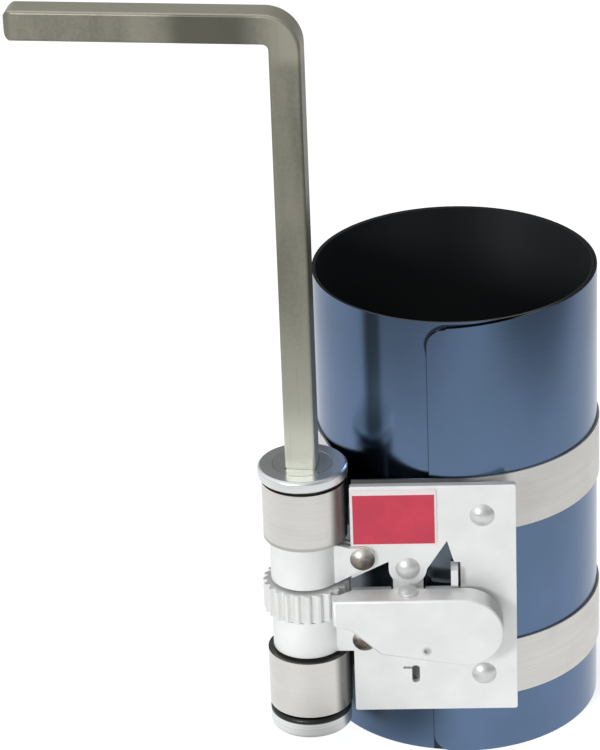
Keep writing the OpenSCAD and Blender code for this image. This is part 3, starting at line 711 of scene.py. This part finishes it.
def make_camera(scene, studio):
    """Sets the camera at the photograph's viewing angle."""
    data = bpy.data.cameras.new("camera")
    data.sensor_fit = "VERTICAL"
    data.sensor_height = SENSOR_HEIGHT
    data.lens = studio.lens
    data.clip_start = 10 * MM
    camera = bpy.data.objects.new("camera", data)
    scene.collection.objects.link(camera)
    place = Vector(studio.camera_place)
    ahead = (Vector(studio.camera_aim) - place).normalized()
    level = ahead.cross(Vector((0.0, 0.0, 1.0))).normalized()
    upright = level.cross(ahead)
    right = math.cos(studio.camera_roll) * level + math.sin(studio.camera_roll) * upright
    up = right.cross(ahead)
    turn = Matrix((right, up, -ahead)).transposed().to_4x4()
    camera.matrix_world = Matrix.Translation(place) @ turn
    scene.camera = camera


# Operators

class PieceOperator(bpy.types.Operator):
    """Base of the operators that dress the compressor and its stage."""

    bl_options = {"REGISTER", "UNDO"}


class COMPRESSOR_OT_stage(PieceOperator):
    """Sets the pale floor, the soft light and the camera"""

    bl_idname = "compressor.stage"
    bl_label = "Stage"

    def execute(self, context):
        scene = context.scene
        studio = settings().studio
        scene.view_settings.view_transform = "Standard"
        make_floor(studio)
        make_sky(scene, studio)
        make_lamp(scene, "main_lamp", MAIN_LAMP, studio.key_light)
        make_lamp(scene, "fill_lamp", FILL_LAMP, studio.fill_light)
        make_camera(scene, studio)
        return {"FINISHED"}


class COMPRESSOR_OT_sleeve(PieceOperator):
    """Gives the sleeve its blued steel"""

    bl_idname = "compressor.sleeve"
    bl_label = "Sleeve"

    def execute(self, context):
        dress("sleeve", blued_steel(settings().finish))
        return {"FINISHED"}


class COMPRESSOR_OT_bands(PieceOperator):
    """Gives the bands and their coils bare rolled steel"""

    bl_idname = "compressor.bands"
    bl_label = "Bands and coils"

    def execute(self, context):
        finish = settings().finish
        strip = band_steel("band_steel", finish, run_painted_shade, rough=0.34)
        wound = band_steel("coil_steel", finish, coil_painted_shade, rough=0.22)
        for level in ("upper", "lower"):
            dress(level + "_band", strip)
            dress(level + "_band_coil", wound)
        return {"FINISHED"}


class COMPRESSOR_OT_plate(PieceOperator):
    """Softens the plate, its knuckles and the lever's bracket, and plates them with zinc"""

    bl_idname = "compressor.plate"
    bl_label = "Plate and knuckles"

    def execute(self, context):
        edge = settings().edge
        zinc = plated("zinc_plate", settings().finish.zinc)
        soften("ratchet_plate", edge.plate, zinc, segments=3)
        for node in ("upper_knuckle", "lower_knuckle"):
            soften(node, edge.knuckle, zinc, segments=3)
        soften("lever_bracket", edge.knuckle, zinc)
        return {"FINISHED"}


class COMPRESSOR_OT_label(PieceOperator):
    """Prints the plain red label"""

    bl_idname = "compressor.label"
    bl_label = "Label"

    def execute(self, context):
        edge = settings().edge
        dress("label_plate", label_film(settings().finish, edge.label_side, edge.label_head))
        return {"FINISHED"}


class COMPRESSOR_OT_rivets(PieceOperator):
    """Finishes the rivets and the lever's pin"""

    bl_idname = "compressor.rivets"
    bl_label = "Rivets and pin"

    def execute(self, context):
        finish = settings().finish
        bright = plated("rivet_steel", finish.rivet, grain=1.6, dull=-0.16)
        for node in ("band_rivets", "bracket_rivets", "lever_pin"):
            dress(node, bright)
        dress("knuckle_rivets", browned_steel(finish))
        return {"FINISHED"}


class COMPRESSOR_OT_spindle(PieceOperator):
    """Finishes the spindle, its caps and the ratchet wheel"""

    bl_idname = "compressor.spindle"
    bl_label = "Spindle and ratchet"

    def execute(self, context):
        finish = settings().finish
        edge = settings().edge
        # Painted shade: the top of the bottom cap is dark, under the lower coil
        shade_band_from = FOOT_TOP - 1.1 * MM
        dress("spindle", turned_steel("spindle_steel", finish.barrel, finish.spindle, CAP_TOP))
        soften("top_cap", edge.cap, turned_steel("cap_steel", finish.spindle))
        soften("bottom_cap", edge.cap, turned_steel("foot_steel", finish.cap_low, finish.barrel, shade_band_from))
        soften("ratchet_wheel", edge.ratchet, plated("ratchet_steel", finish.ratchet, grain=1.4))
        return {"FINISHED"}


class COMPRESSOR_OT_lever(PieceOperator):
    """Rounds the lever's dished face and finishes the lever and its spring"""

    bl_idname = "compressor.lever"
    bl_label = "Release lever"

    def execute(self, context):
        finish = settings().finish
        front = LEVER_FACE + 0.02 * MM
        mark = Vector(PUNCH_MARK)

        def on_rim(edge):
            return all(vert.co.y < front and (vert.co.xz - mark).length > PUNCH_REACH for vert in edge.verts)

        mesh = solid_mesh("release_lever")
        round_edges(mesh, sharp_edges(mesh, on_rim), settings().edge.lever_rim, segments=5)
        zinc = plated("lever_zinc", shade(finish.zinc, 0.97), grain=0.8, painted_shade=lever_painted_shade)
        stand_for("release_lever", mesh, zinc)
        dress("lever_spring", drawn_wire(finish))
        return {"FINISHED"}


class COMPRESSOR_OT_key(PieceOperator):
    """Finishes the bent key"""

    bl_idname = "compressor.key"
    bl_label = "Key"

    def execute(self, context):
        dress("key", key_steel(settings().finish))
        return {"FINISHED"}


class COMPRESSOR_PT_panel(bpy.types.Panel):
    """Lists the steps that dress the compressor, and their settings"""

    bl_idname = "COMPRESSOR_PT_panel"
    bl_label = "Piston Ring Compressor"
    bl_space_type = "VIEW_3D"
    bl_region_type = "UI"
    bl_category = "Compressor"

    def draw(self, context):
        for step in STEPS:
            self.layout.operator(step.bl_idname)
        for group in ("finish", "edge", "studio"):
            box = self.layout.box()
            owner = getattr(settings(), group)
            for name in owner.bl_rna.properties.keys():
                if name not in ("rna_type", "name"):
                    box.prop(owner, name)


STEPS = (COMPRESSOR_OT_stage, COMPRESSOR_OT_sleeve, COMPRESSOR_OT_bands, COMPRESSOR_OT_plate,
         COMPRESSOR_OT_label, COMPRESSOR_OT_rivets, COMPRESSOR_OT_spindle, COMPRESSOR_OT_lever,
         COMPRESSOR_OT_key)
CLASSES = (FinishSettings, EdgeSettings, StudioSettings, CompressorSettings) + STEPS + (COMPRESSOR_PT_panel,)


def register():
    for item in CLASSES:
        bpy.utils.register_class(item)
    bpy.types.Scene.compressor = bpy.props.PointerProperty(type=CompressorSettings)


def unregister():
    del bpy.types.Scene.compressor
    for item in reversed(CLASSES):
        bpy.utils.unregister_class(item)


def main():
    """Dresses the compressor step by step."""
    register()
    for step in STEPS:
        group, name = step.bl_idname.split(".")
        getattr(getattr(bpy.ops, group), name)()


if __name__ == "__main__":
    main()
